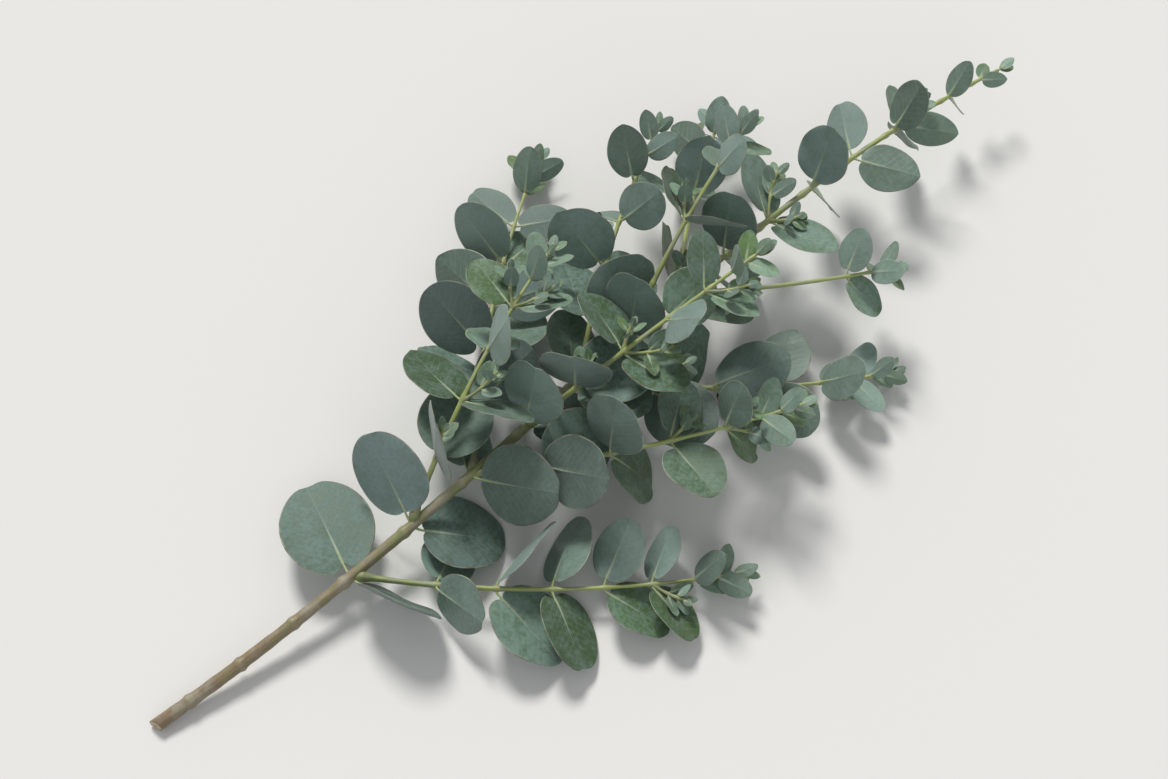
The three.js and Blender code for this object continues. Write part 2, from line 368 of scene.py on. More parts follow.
def find_leaf(node, turn, habit, shrink, reach, joined_to):
    """The first way to grow that is clear of the surface, the stems and other leaves."""
    stems = [values for name, values in stem_points.items() if name != joined_to]
    points = np.vstack([values[0] for values in stems])
    gaps = np.concatenate([values[1] for values in stems])
    for step in OPENING_STEPS:
        for facing in FACING_STEPS:
            opening = radians(habit["opening"] + step)
            leaf = make_leaf(node, turn, habit, shrink, opening, habit["facing"] * facing, reach)
            samples = leaf_samples(leaf)
            if samples[:, 2].min() < FLOOR_GAP or is_near_blade(leaf, points, gaps):
                continue
            found = SimpleNamespace(leaf=leaf, samples=samples, middle=leaf_middle(leaf))
            if crowd.is_clear_of(found):
                return found
    return None


def draw_habit(length, roundness, opening):
    """How one leaf would like to grow."""
    own_length = length * growth.between(0.93, 1.07)
    return {
        "length": own_length,
        "width": own_length * roundness * growth.between(0.92, 1.05),
        "opening": opening + growth.between(-9, 9),
        "facing": growth.between(0.45, 1),
        "fold": growth.between(0.04, 0.2),
        "bend": growth.between(-0.12, 0.1),
    }


def grow_pair(node, turn, length, roundness, opening, reach, joined_to=None):
    """Two leaves on opposite sides of a node, turned and shrunk until both have room."""
    habits = [draw_habit(length, roundness, opening) for _ in range(2)]
    for shrink in SHRINK_STEPS:
        for twist in TWISTS:
            angle = radians(turn + twist)
            first = find_leaf(node, angle, habits[0], shrink, reach, joined_to)
            if not first:
                continue
            if not joined_to:
                crowd.add(first)
            second = find_leaf(node, angle + pi, habits[1], shrink, reach, joined_to)
            if not joined_to:
                crowd.remove_last()
            if second:
                crowd.add(first, second)
                return [first.leaf, second.leaf]
    return None


def grow_axis_pairs(axis, places, count, scale, turn):
    """The leaf pairs along an axis, each turned a quarter turn to the one below."""
    pairs = []
    for i in range(count):
        age = i / (count - 1) if count > 1 else 0
        node = frame_at(axis, pair_place(places, count, i))
        length = lerp(places["longest"], places["shortest"], age) * scale
        reach = node.radius + JOINT_GAP + COLLAR_THICKNESS
        own_turn = turn + 90 * i + growth.between(-12, 12)
        roundness = lerp(*PAIR_ROUNDNESS, age)
        leaves = grow_pair(node, own_turn, length, roundness, lerp(*PAIR_OPENING, age), reach)
        if leaves:
            pairs.append(SimpleNamespace(node=node, leaves=leaves, youth=age * PAIR_YOUTH))
    return pairs


def grow_tip_leaves(axis, scale, turn, young_leaves=TIP_LEAVES):
    """The pairs of young leaves at a growing tip, which are part of their axis."""
    pairs = []
    for i, (place, length, opening) in enumerate(young_leaves):
        node = frame_at(axis, place)
        own_turn = turn + 90 * i
        leaves = grow_pair(node, own_turn, length * scale, TIP_ROUNDNESS, opening, 0, axis.name)
        if leaves:
            youth = TIP_YOUTH + TIP_YOUTH_STEP * i
            pairs.append(SimpleNamespace(node=node, leaves=leaves, youth=youth))
    return pairs


def grow_branch():
    """The axes, the leaf pairs below the tips, and the pairs at the tips."""
    stem = make_stem_axis()
    twigs = [make_twig_axis(stem, index) for index in range(len(SIDE_TWIGS))]
    for axis in (stem, *twigs):
        occupy_axis(axis)
    pairs = grow_axis_pairs(stem, STEM_PAIRS, STEM_PAIRS["count"], 1, STEM_TURN)
    tips = grow_tip_leaves(stem, STEM_TIP_SCALE, STEM_TURN)
    for twig, (_, _, _, length, _, count) in zip(twigs, SIDE_TWIGS):
        scale = min(LARGEST_TWIG_SCALE, sqrt(length / TWIG_REFERENCE_LENGTH))
        turn = growth.between(0, 90)
        pairs += grow_axis_pairs(twig, TWIG_PAIRS, count, scale, turn)
        tips += grow_tip_leaves(twig, scale, turn + 90 * count)
    return stem, twigs, pairs, tips


def is_clear(axis):
    """Whether a new shoot keeps away from every leaf and from the surface."""
    steps = 8
    points = np.array([frame_at(axis, lerp(0.3, 1, i / steps)).point for i in range(steps + 1)])
    near = any(is_near_blade(one.leaf, points, STEM_GAP) for one in crowd.found)
    return not near and points[:, 2].min() > SHOOT_FLOOR_GAP


def make_shoot(node, leaf, name, length):
    point = node.point + node.ahead * SHOOT_ABOVE_PAIR
    foot = SimpleNamespace(point=point, ahead=node.ahead, radius=node.radius)
    direction = unit(node.ahead * shapes.between(0.7, 1.1) + leaf.outward * 0.8)
    lean = node.ahead * SHOOT_FORWARD + UP * SHOOT_UP
    return make_side_axis(name, foot, leaf.outward, direction, lean, length, SHOOT_RADII)


def grow_shoots(pairs):
    """Short shoots in the corners above leaves, wherever there is room."""
    shoots = []
    for pair in pairs:
        for leaf in pair.leaves:
            if shapes.random() > SHOOT_CHANCE:
                continue
            name = f"shoot_{len(shoots) + 1:02d}"
            shoot = make_shoot(pair.node, leaf, name, shapes.between(*SHOOT_LENGTHS))
            if not is_clear(shoot):
                continue
            occupy_axis(shoot)
            scale = lerp(0.7, 1.1, (shoot.length - SHOOT_LENGTHS[0]) / SHOOT_LENGTHS[1])
            shoot.pairs = grow_tip_leaves(shoot, scale, shapes.between(0, 90), SHOOT_LEAVES)
            if len(shoot.pairs) < 2:
                del stem_points[name]
                continue
            shoots.append(shoot)
    return shoots


def check_against_frame(pairs):
    """Stops the script if a leaf grew away from its CAD solid."""
    for number, pair in enumerate(pairs, 1):
        name = f"leaf_pair_{number:02d}"
        low, high = np.array(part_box(name))
        for leaf in pair.leaves:
            middle = leaf_middle(leaf) * MM
            past = max(*(low - middle), *(middle - high))
            if past > FRAME_TOLERANCE:
                raise RuntimeError(f"{name} isn't where the CAD part has it")


# ---- meshes

TABLE_CONTACT = 0.05


def smooth_step(low, high, value):
    x = np.clip((value - low) / (high - low), 0, 1)
    return x * x * (3 - 2 * x)


def bell(distance, width):
    """1 at no distance, and near 0 at more than two widths."""
    return np.exp(-((distance / width) ** 2))


def build_piece(name, parts, materials, slot, *cad_nodes):
    """One object from several closed shells, each with points in mm, faces and attributes.

    Where a leaf's edge leans on the table, it lies level along it.
    """
    points = np.vstack([part["points"] for part in parts]) * MM
    points[:, 2] = np.maximum(points[:, 2], TABLE_CONTACT * MM)
    faces, indices = [], []
    start = 0
    for part in parts:
        faces += [tuple(start + corner for corner in face) for face in part["faces"]]
        indices += [part.get("material", 0)] * len(part["faces"])
        start += len(part["points"])
    mesh = bpy.data.meshes.new(name)
    mesh.from_pydata(points.tolist(), [], faces)
    for key in ("place", "kind", "traits"):
        values = np.vstack([part[key] for part in parts]).astype(np.float32)
        mesh.attributes.new(key, "FLOAT_VECTOR", "POINT").data.foreach_set("vector", values.ravel())
    for material in materials:
        mesh.materials.append(material)
    mesh.polygons.foreach_set("material_index", indices)
    mesh.polygons.foreach_set("use_smooth", [True] * len(faces))
    mesh.update()
    piece = bpy.data.objects.new(name, mesh)
    bpy.context.scene.collection.objects.link(piece)
    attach(piece, "root")
    if cad_nodes:
        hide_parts(*cad_nodes)


# ---- leaf blades

# A blade is thickest at its midrib, in mm from its middle surface to each skin
HALF_THICKNESS = 0.22
MARGIN_THINNING = 0.1
GROOVE_DEPTH = 0.16
GROOVE_WIDTH = 0.5
RIDGE_DEPTH = 0.5
RIDGE_WIDTH = 0.6
FULL_SIZE = 50
SMALL_LEAF = 15

# How far along a blade its lobes reach, and the place and width of the notch at its tip
LOBE_ANGLE = 0.35
NOTCH_START = 0.85
NOTCH_WIDTH = 0.09
RIPPLE = 0.006


def blade_faces(rows, count):
    """Faces of a closed blade: an upper and a lower skin that meet along a thin margin."""
    layer = (rows - 1) * count + 2
    last = count - 1

    def corner(skin, column, row):
        if row == 0:
            return skin * layer
        if row == rows:
            return skin * layer + layer - 1
        return skin * layer + 1 + (row - 1) * count + column

    def face(row, first, second):
        """The face between two lines of points. A line is a skin's number and a column's."""
        places = (*first, row), (*first, row + 1), (*second, row + 1), (*second, row)
        return tuple(dict.fromkeys(corner(*place) for place in places))

    faces = []
    for row in range(rows):
        for left in range(last):
            faces.append(face(row, (0, left), (0, left + 1)))
            faces.append(face(row, (1, left + 1), (1, left)))
        faces.append(face(row, (1, 0), (0, 0)))
        faces.append(face(row, (0, last), (1, last)))
    return faces


def make_grid(rows, inner):
    """The rows and columns of a blade's two skins. Columns are places from edge to edge."""
    columns = np.array([-place for place in inner[::-1]] + [0.0] + list(inner))
    return SimpleNamespace(rows=rows, columns=columns, faces=blade_faces(rows, len(columns)))


FINE_GRID = make_grid(26, (0.022, 0.06, 0.13, 0.26, 0.42, 0.58, 0.74, 0.87, 0.96, 1.0))
SMALL_GRID = make_grid(16, (0.06, 0.18, 0.38, 0.6, 0.8, 0.93, 1.0))


def draw_character(leaf):
    """What makes one leaf differ from the next: its lobes, tip, waves and lean."""
    return SimpleNamespace(
        lobe=shapes.between(0.02, 0.14) * min(1, leaf.width / leaf.length) ** 2,
        notch=shapes.between(-0.03, min(0.045, leaf.length / 900)),
        wave=shapes.between(0.004, 0.02),
        waves=shapes.between(3, 6),
        phase=shapes.between(0, 6.28),
        lean=shapes.between(-0.03, 0.03),
    )


def blade_plan(leaf, character, angle, across):
    """Each point's share of the length, and its distances from the midrib and the foot."""
    share = (1 - np.cos(angle)) / 2 + 0 * across
    x = across * (leaf.width / 2 * np.sin(angle) * (FOOT_WIDTH - WIDTH_TAPER * share))
    early = angle / LOBE_ANGLE
    lobes = np.abs(across) ** 1.5 * early * np.exp(1 - early)
    notch = bell(x, NOTCH_WIDTH * leaf.width) * smooth_step(NOTCH_START, 1, share)
    along = leaf.length * (share - character.lobe * lobes - character.notch * notch)
    return share, x + character.lean * leaf.length * share**2, along


def blade_height(leaf, character, angle, across, share, x):
    """How far a blade's middle surface rises: folded, bent, wavy and uneven."""
    phase = character.phase
    fold = leaf.fold * (np.sqrt(x * x + 1) - 1)
    bend = leaf.bend * share**2
    side_phase = phase + 2.1 * (across > 0)
    wave = character.wave * np.abs(across) ** 3 * np.sin(character.waves * angle + side_phase)
    ripple = RIPPLE * np.sin(2.2 * angle + phase) * np.sin(2.6 * across + phase)
    return fold + leaf.length * (bend + wave + ripple)


def skin_heights(leaf, across, share, x):
    """How far the upper and the lower skin lie from a blade's middle surface."""
    scale = 0.55 + 0.45 * min(1, leaf.length / FULL_SIZE)
    thick = HALF_THICKNESS - MARGIN_THINNING * across**2
    before_tip = np.clip(1 - share, 0, 1)
    groove = GROOVE_DEPTH * before_tip**0.5 * bell(x, GROOVE_WIDTH)
    ridge = RIDGE_DEPTH * before_tip**0.8 * bell(x, RIDGE_WIDTH)
    return scale * (thick - groove), -scale * (thick + ridge)


def skin_points(grid):
    """A skin's values in one list. Its first and last rows are a single point each."""
    middle = grid.shape[1] // 2
    return np.vstack((grid[0, middle], grid[1:-1].reshape(-1, 3), grid[-1, middle]))


def blade_part(leaf, grid, traits):
    """A leaf's blade, with lobes at its foot, and a notch or a point at its tip."""
    angle = (pi * np.arange(grid.rows + 1) / grid.rows)[:, None]
    across = grid.columns[None, :]
    character = draw_character(leaf)
    share, x, along = blade_plan(leaf, character, angle, across)
    height = blade_height(leaf, character, angle, across, share, x)
    flat = leaf.base + (leaf.petiole + along)[..., None] * leaf.axis + x[..., None] * leaf.side
    place = skin_points(np.stack((x, along, np.abs(across) + 0 * share), axis=-1))
    points, kind = [], []
    for under, level in enumerate(skin_heights(leaf, across, share, x)):
        points.append(skin_points(flat + (height + level)[..., None] * leaf.face))
        kind.append(skin_points(np.stack((under + 0 * share, share, 0 * share), axis=-1)))
    return {
        "points": np.vstack(points),
        "faces": grid.faces,
        "place": np.vstack((place, place)),
        "kind": np.vstack(kind),
        "traits": np.tile(traits, (2 * len(place), 1)),
    }


# ---- tubes

def sweep_frames(path, reference):
    """Two directions square to a path at each of its points."""
    ahead = np.gradient(path, axis=0)
    ahead /= np.linalg.norm(ahead, axis=1)[:, None]
    side = reference - dot(ahead, reference)[:, None] * ahead
    side /= np.linalg.norm(side, axis=1)[:, None]
    return side, np.cross(side, ahead)


def lengths_along(path):
    return np.concatenate(((0,), np.cumsum(np.linalg.norm(np.diff(path, axis=0), axis=1))))


def ring_angles(sides):
    return np.arange(sides) * 2 * pi / sides


def closed(grid):
    """A tube's values in one list, with its end rings' means at both ends."""
    return np.vstack((grid[0].mean(axis=0), grid.reshape(-1, 3), grid[-1].mean(axis=0)))


def tube_part(path, reference, radii, kind, traits):
    """A closed tube around a path, with one more point in the middle of each end.

    Radii and kind have a row for each point of the path.
    """
    rows, sides = radii.shape
    side, top = sweep_frames(path, reference)
    angles = ring_angles(sides)
    ring = np.cos(angles)[None, :, None] * side[:, None] + np.sin(angles)[None, :, None] * top[:, None]
    points = path[:, None] + ring * radii[..., None]
    along = lengths_along(path)[:, None] + 0 * radii
    place = np.stack((np.cos(angles) * radii, along, np.sin(angles) * radii), axis=-1)
    return {
        "points": closed(points),
        "faces": tube_faces(rows, sides),
        "place": closed(place),
        "kind": closed(kind),
        "traits": np.tile(traits, (rows * sides + 2, 1)),
    }


def tube_faces(count, sides):
    faces = []
    for j in range(sides):
        k = (j + 1) % sides
        faces.append((0, 1 + j, 1 + k))
        for low in range(1, (count - 1) * sides, sides):
            high = low + sides
            faces.append((low + k, low + j, high + j, high + k))
        faces.append((high + k, high + j, high + sides))
    return faces


PETIOLE_STEPS = 9
PETIOLE_SIDES = 8
PETIOLE_RADII = (1.0, 0.42)
PETIOLE_ROOT = 0.3
PETIOLE_UNDER_BLADE = 0.16


def petiole_part(leaf, traits):
    """The leaf's stalk: out of the twig, and fading into the midrib under the blade."""
    scale = 0.5 + 0.5 * min(1, leaf.length / FULL_SIZE)
    end = leaf.petiole + PETIOLE_UNDER_BLADE * leaf.length
    route = [
        leaf.node.point + leaf.outward * leaf.reach * PETIOLE_ROOT,
        leaf.base,
        leaf.base + leaf.axis * leaf.petiole * 0.8 - leaf.face * 0.1,
        leaf.base + leaf.axis * end - leaf.face * 0.25 * scale,
    ]
    count = PETIOLE_STEPS + 1
    path = np.array([bezier(route, i / PETIOLE_STEPS) for i in range(count)])
    radii = np.tile(scale * np.linspace(*PETIOLE_RADII, count)[:, None], (1, PETIOLE_SIDES))
    kind = np.stack((0 * radii, 0 * radii, 1 + 0 * radii), axis=-1)
    return tube_part(path, leaf.side, radii, kind, traits)


def leaf_parts(leaf, traits):
    grid = FINE_GRID if leaf.length > SMALL_LEAF else SMALL_GRID
    return [blade_part(leaf, grid, traits), petiole_part(leaf, traits)]


# ---- stem and twigs

RING_STEP = 1.0
ROOT_STEPS = 8
ROOT_LENGTH = 9
BUD_LENGTH = 4.0
BUD_STEP = 0.6
BUD_SWELLING = 0.5

NODE_WIDTH = 2.4
NODE_LINE_WIDTH = 1.8
FLARE = 0.5
SQUARENESS = 0.05
RIBS = 7
RIB_HEIGHT = 0.018
ROOT_AGE = 0.35
ROOT_AGE_LENGTH = 12

# The scar of a fallen leaf: its size along and around the stem, the heights of its rim and of the
# pit in its middle, and the shares of its size that the pit and the paler bark take up
SCAR_SIZE = (1.3, 1.7)
SCAR_RIM = 0.75
SCAR_PIT = 0.45
PIT_SHARE = 0.45
SCAR_SHARE = 0.75

# The stem's cut end: how far it slants, and towards what, how far behind it the slant ends, and
# its rings of points, as shares of its radius
CUT_SLANT = 0.55
CUT_TOWARD = np.array((0.8, 0.0, 0.6))
CUT_FADE = 7.0
CUT_RINGS = (0.93, 0.86, 0.5, 0.16)
CUT_RAYS = 3.5
CUT_KIND = (1, 0, 1)


def root_path(axis, start):
    """Points from inside the stem that a twig leaves to the twig's own start."""
    toward = unit(start.point - axis.foot.point)
    route = [
        axis.foot.point - axis.foot.ahead * 4 * axis.radii[0] + toward * axis.foot.radius * 0.2,
        start.point - start.ahead * 2.8 * axis.radii[0],
        start.point,
    ]
    return [bezier(route, i / ROOT_STEPS) for i in range(ROOT_STEPS)]


def axis_path(axis):
    """Points along an axis, from its root to its bud, and how many are in the root."""
    count = round(axis.length / RING_STEP)
    path = [bezier(axis.route, i / count) for i in range(count + 1)]
    end = frame_at(axis, 1)
    steps = round(BUD_LENGTH / BUD_STEP)
    path += [end.point + end.ahead * (i + 1) * BUD_LENGTH / steps for i in range(steps)]
    root = root_path(axis, frame_at(axis, 0)) if axis.foot else []
    return np.array(root + path), len(root)


def root_radius(axis, along, radius):
    """The radii near a twig's root: narrow inside the stem, and flared where it comes out."""
    out = np.exp(-((np.clip(along + 1, 0, None) / 3.5) ** 1.3))
    flare = out * smooth_step(-ROOT_LENGTH, -1.5, along)
    narrow = lerp(0.7, 1, smooth_step(-ROOT_LENGTH, -3, along))
    return radius * narrow + FLARE * axis.foot.radius * flare


def axis_radius(axis, nodes, along):
    """The radii along an axis, thicker at its nodes and rounded off at its bud."""
    radius = lerp(*axis.radii, np.clip(along / axis.length, 0, 1))
    for node_place in nodes:
        distance = along - node_place * axis.length
        radius = radius + (0.3 + 0.14 * radius) * bell(distance, NODE_WIDTH)
    if axis.foot:
        radius = root_radius(axis, along, radius)
    radius = radius * (1 + 0.025 * np.sin(along / 5.3) + 0.02 * np.sin(along / 2.1 + 1))
    beyond = np.clip((along - axis.length) / BUD_LENGTH, 0, 1)
    return radius * (1 + BUD_SWELLING * np.sin(beyond * pi)) * np.sqrt(1 - beyond**1.5) + 0.02


def axis_age(axis, ages, along):
    """How woody an axis is along its length, from 0 where it is green to 1."""
    age = lerp(*ages, np.clip(along / axis.length, 0, 1))
    if axis.foot:
        age = age + ROOT_AGE * np.exp(-np.clip(along, 0, None) / ROOT_AGE_LENGTH)
    return age


def scar_distance(along, angles, radius, place, turn):
    """How far each point is from the middle of a leaf scar, in scar sizes."""
    spread = (angles - turn + pi) % (2 * pi) - pi
    return np.hypot((along - place) / SCAR_SIZE[0], spread * radius / SCAR_SIZE[1])


def axis_part(axis, nodes, sides, ages, scars=()):
    """A stem or twig: squarish while young, thicker at its nodes, rough and scarred when old."""
    path, root = axis_path(axis)
    along = lengths_along(path)[:, None]
    along = along - along[root]
    angles = ring_angles(sides)[None, :]
    age = axis_age(axis, ages, along)
    square = SQUARENESS * (1 - age) * np.cos(4 * angles)
    ribs = RIB_HEIGHT * np.sin(RIBS * angles + along / 23) * (0.4 + age)
    radius = axis_radius(axis, nodes, along)
    radii = radius * (1 + square + ribs)
    scar = 0 * radii
    for node_place in nodes:
        scar = np.maximum(scar, 0.4 * bell(along - node_place * axis.length, NODE_LINE_WIDTH))
    for place, turn in scars:
        distance = scar_distance(along, angles, radius, place, turn)
        radii = radii + SCAR_RIM * bell(distance, 1) - SCAR_PIT * bell(distance, PIT_SHARE)
        scar = np.maximum(scar, np.exp(-((distance / SCAR_SHARE) ** 4)))
    kind = np.stack((age + 0 * radii, scar, 0 * radii), axis=-1)
    part = tube_part(path, axis.reference, radii, kind, (0, 0, shapes.random()))
    return part if axis.foot else add_cut_end(part, sides)


def slant_end(points, sides):
    """Moves the first rings of a tube along it, so that its end is cut at a slant."""
    first = points[1 : sides + 1].mean(axis=0)
    fifth = points[1 + 4 * sides : 5 * sides + 1].mean(axis=0)
    ahead = unit(first - fifth)
    offset = points - points[0]
    behind = np.clip(-(offset @ ahead) / CUT_FADE, 0, 1)
    slant = CUT_SLANT * (offset @ CUT_TOWARD) * (1 - behind) ** 2
    return points - slant[:, None] * ahead


def cut_faces(faces, start, sides):
    """A tube's faces, with rings in place of the fan at its first end."""
    kept = [face for face in faces if 0 not in face]
    edges = [1] + [start + i * sides for i in range(len(CUT_RINGS))]
    for outer, inner in zip(edges, edges[1:]):
        for j in range(sides):
            k = (j + 1) % sides
            kept.append((outer + k, inner + k, inner + j, outer + j))
    last = edges[-1]
    return kept + [(0, last + j, last + (j + 1) % sides) for j in range(sides)]


def add_cut_end(part, sides):
    """Slants the stem's lower end, and adds rings to its face."""
    points = slant_end(part["points"], sides)
    rings = [lerp(points[0], points[1 : sides + 1], share) for share in CUT_RINGS]
    around = np.tile(ring_angles(sides), len(CUT_RINGS))
    radial = np.repeat(CUT_RINGS, sides)
    spread = CUT_RAYS + radial
    place = np.stack((np.cos(around) * spread, 0 * around, np.sin(around) * spread), axis=-1)
    traits = np.tile(part["traits"][0], (len(radial), 1))
    traits[:, 0] = radial
    part["traits"][1 : sides + 1, 0] = 1
    part["place"][0] = 0
    part["kind"][0] = CUT_KIND
    return {
        "points": np.vstack((points, *rings)),
        "faces": cut_faces(part["faces"], len(points), sides),
        "place": np.vstack((part["place"], place)),
        "kind": np.vstack((part["kind"], np.tile(CUT_KIND, (len(radial), 1)))),
        "traits": np.vstack((part["traits"], traits)),
    }


# ---- shader nodes

SEED_SPREAD = 900.0


class Nodes:
    """A material's shader nodes, and short ways to add more.

    The bark and leaf materials read three attributes of each point. `place` is where it is on its
    surface, in mm, and the distance from a leaf's midrib as a share. `kind` is what it is there.
    `traits` are the piece's own: how waxy, how young, and a seed for its pattern.
    """

    def __init__(self, name):
        self.material = bpy.data.materials.new(name)
        self.material.use_nodes = True
        self.tree = self.material.node_tree
        self.shader = self.tree.nodes["Principled BSDF"]

    def link(self, source, target):
        """Gives an input a number, a vector, a colour or another node's output."""
        if isinstance(source, tuple) and target.type == "RGBA":
            target.default_value = (*source, 1.0)
        elif isinstance(source, (int, float, tuple)):
            target.default_value = source
        else:
            self.tree.links.new(source, target)

    def surface(self, inputs):
        for key, source in inputs.items():
            self.link(source, self.shader.inputs[key])

    def add_node(self, kind, inputs, **settings):
        """Adds a node, and returns its outputs."""
        node = self.tree.nodes.new(f"ShaderNode{kind}")
        for key, value in settings.items():
            setattr(node, key, value)
        for key, source in inputs.items():
            self.link(source, node.inputs[key])
        return node.outputs

    def attribute(self, name):
        """A point's attribute, whole and as its three numbers."""
        vector = self.add_node("Attribute", {}, attribute_name=name)["Vector"]
        return vector, self.add_node("SeparateXYZ", {0: vector})

    def math(self, operation, a, b=0.0, clamp=False):
        return self.add_node("Math", {0: a, 1: b}, operation=operation, use_clamp=clamp)[0]

    def add(self, a, b, clamp=False):
        return self.math("ADD", a, b, clamp)

    def times(self, a, b):
        return self.math("MULTIPLY", a, b)

    def range(self, value, low, high, out_low=0.0, out_high=1.0):
        """Smoothly from out_low, where the value is low, to out_high, where it is high."""
        inputs = dict(enumerate((value, low, high, out_low, out_high)))
        return self.add_node("MapRange", inputs, interpolation_type="SMOOTHSTEP")["Result"]

    def mix(self, share, a, b):
        return self.add_node("Mix", {"Factor": share, 6: a, 7: b}, data_type="RGBA")[2]

    def scaled(self, colour, factor):
        return self.add_node("VectorMath", {0: colour, "Scale": factor}, operation="SCALE")[0]

    def stretched(self, vector, scale):
        return self.add_node("VectorMath", {0: vector, 1: scale}, operation="MULTIPLY")[0]

    def own_place(self, place, traits):
        """Places that are moved by the piece's seed, so that no two pieces share a pattern."""
        inputs = {0: traits, 1: (0.0, 0.0, SEED_SPREAD), 2: place}
        return self.add_node("VectorMath", inputs, operation="MULTIPLY_ADD")[0]

    def noise(self, vector, scale, detail=2.0, roughness=0.5):
        inputs = {"Vector": vector, "Scale": scale, "Detail": detail, "Roughness": roughness}
        return self.add_node("TexNoise", inputs)[0]

    def cells(self, vector, scale, feature="F1"):
        inputs = {"Vector": vector, "Scale": scale}
        return self.add_node("TexVoronoi", inputs, feature=feature)["Distance"]

    def bump(self, height, strength, distance):
        inputs = {"Height": height, "Strength": strength, "Distance": distance}
        self.surface({"Normal": self.add_node("Bump", inputs)[0]})


# ---- leaf material

MATURE_GREEN = (0.042, 0.088, 0.038)
YOUNG_GREEN = (0.130, 0.225, 0.070)
BLUE_BLOOM = (0.148, 0.220, 0.222)
GREEN_BLOOM = (0.158, 0.246, 0.194)
YOUNG_BLOOM = (0.225, 0.340, 0.250)
UNDERSIDE = (0.215, 0.285, 0.280)
VEIN = (0.400, 0.470, 0.330)
MARGIN_PALE = (0.420, 0.450, 0.330)
MARGIN_RED = (0.260, 0.130, 0.100)
BLEMISH = (0.150, 0.100, 0.060)
STALK = (0.330, 0.400, 0.160)

TONE_STEP = 37.7
SHADE_STEP = 91.3
DARKEST_SHADE = 0.78
LIGHTEST_SHADE = 1.2

# In mm, apart from the slant, which is a slope
VEIN_SPACING = 4.6
VEIN_WIDTH = 0.34
VEIN_SLANT = 0.8
VEIN_WOBBLE = 3.0
MIDRIB_WIDTHS = (1.3, 0.4)


def read_leaf(nodes):
    """A leaf's attributes, and the patterns that its colour, gloss and relief share.

    Here and below, a noise's or a cell pattern's scale is about its features per mm.
    """
    place, (x, along, edge) = nodes.attribute("place")
    _, (under, share, stalk) = nodes.attribute("kind")
    traits, (bloom, youth, seed) = nodes.attribute("traits")
    spot = nodes.own_place(place, traits)
    return SimpleNamespace(
        along=along, edge=edge, under=under, share=share, stalk=stalk,
        bloom=bloom, youth=youth, seed=seed, spot=spot,
        out=nodes.math("ABSOLUTE", x),
        patches=nodes.noise(spot, 0.09, 3.0, 0.6),
        mottle=nodes.noise(spot, 0.36, 4.0, 0.6),
        grain=nodes.noise(spot, 1.1, 4.0, 0.65),
        net=nodes.range(nodes.cells(spot, 0.95, "DISTANCE_TO_EDGE"), 0.0, 0.12, 1.0, 0.0),
    )


def wax_cover(nodes, leaf):
    """How thick the pale bloom lies: uneven at three scales, and different on each leaf."""
    wax = nodes.add(leaf.bloom, nodes.range(leaf.patches, 0.3, 0.7, -0.28, 0.22))
    wax = nodes.add(wax, nodes.range(leaf.mottle, 0.38, 0.62, -0.17, 0.13))
    return nodes.add(wax, nodes.range(leaf.grain, 0.35, 0.65, -0.1, 0.1), clamp=True)


def own_number(nodes, leaf, step):
    """A number from 0 to 1 that is a leaf's own. Each step gives another one."""
    return nodes.math("FRACT", nodes.times(leaf.seed, step))


def blade_colour(nodes, leaf, wax):
    """Green under a bloom that is bluer on some leaves than on others."""
    bloom = nodes.mix(own_number(nodes, leaf, TONE_STEP), BLUE_BLOOM, GREEN_BLOOM)
    haze = nodes.mix(leaf.youth, bloom, YOUNG_BLOOM)
    green = nodes.mix(leaf.youth, MATURE_GREEN, YOUNG_GREEN)
    colour = nodes.mix(nodes.times(wax, 0.9), green, haze)
    colour = nodes.mix(nodes.times(leaf.under, 0.45), colour, UNDERSIDE)
    number = own_number(nodes, leaf, SHADE_STEP)
    return nodes.scaled(colour, nodes.range(number, 0.0, 1.0, DARKEST_SHADE, LIGHTEST_SHADE))


def side_veins(nodes, leaf):
    """Stripes that leave the midrib at a slant, and fade towards the margin."""
    wander = nodes.add(nodes.noise(leaf.spot, 0.25), -0.5)
    level = nodes.add(leaf.along, nodes.times(leaf.out, -VEIN_SLANT))
    level = nodes.add(level, nodes.times(wander, VEIN_WOBBLE))
    stripe = nodes.math("PINGPONG", level, VEIN_SPACING / 2)
    vein = nodes.range(stripe, 0.0, VEIN_WIDTH, 1.0, 0.0)
    return nodes.times(vein, nodes.range(leaf.edge, 0.55, 0.98, 1.0, 0.1))


def add_veins(nodes, leaf, colour, veins):
    colour = nodes.mix(nodes.times(leaf.net, 0.06), colour, VEIN)
    colour = nodes.mix(nodes.times(veins, 0.17), colour, VEIN)
    width = nodes.range(leaf.share, 0.0, 0.6, *MIDRIB_WIDTHS)
    midrib = nodes.range(nodes.math("DIVIDE", leaf.out, width), 0.2, 1.0, 1.0, 0.0)
    paleness = nodes.range(leaf.share, 0.0, 0.75, 0.85, 0.12)
    return nodes.mix(nodes.times(midrib, paleness), colour, VEIN)


def add_blemishes(nodes, leaf, colour):
    """Pale freckles, and on a few leaves some brown spots."""
    freckles = nodes.range(nodes.noise(leaf.spot, 2.4), 0.64, 0.72)
    colour = nodes.mix(nodes.times(freckles, 0.16), colour, MARGIN_PALE)
    dots = nodes.range(nodes.cells(leaf.spot, 0.17), 0.05, 0.13, 1.0, 0.0)
    few = nodes.range(nodes.noise(leaf.spot, 0.045, 1.0), 0.56, 0.62)
    return nodes.mix(nodes.times(nodes.times(dots, few), 0.75), colour, BLEMISH)


def add_margin(nodes, leaf, colour):
    """A thin rim, pale along some stretches and reddish along others."""
    stretches = nodes.range(nodes.noise(leaf.spot, 0.11, 1.0), 0.45, 0.6)
    rim = nodes.times(nodes.range(leaf.edge, 0.955, 0.99), 0.6)
    return nodes.mix(rim, colour, nodes.mix(stretches, MARGIN_PALE, MARGIN_RED))


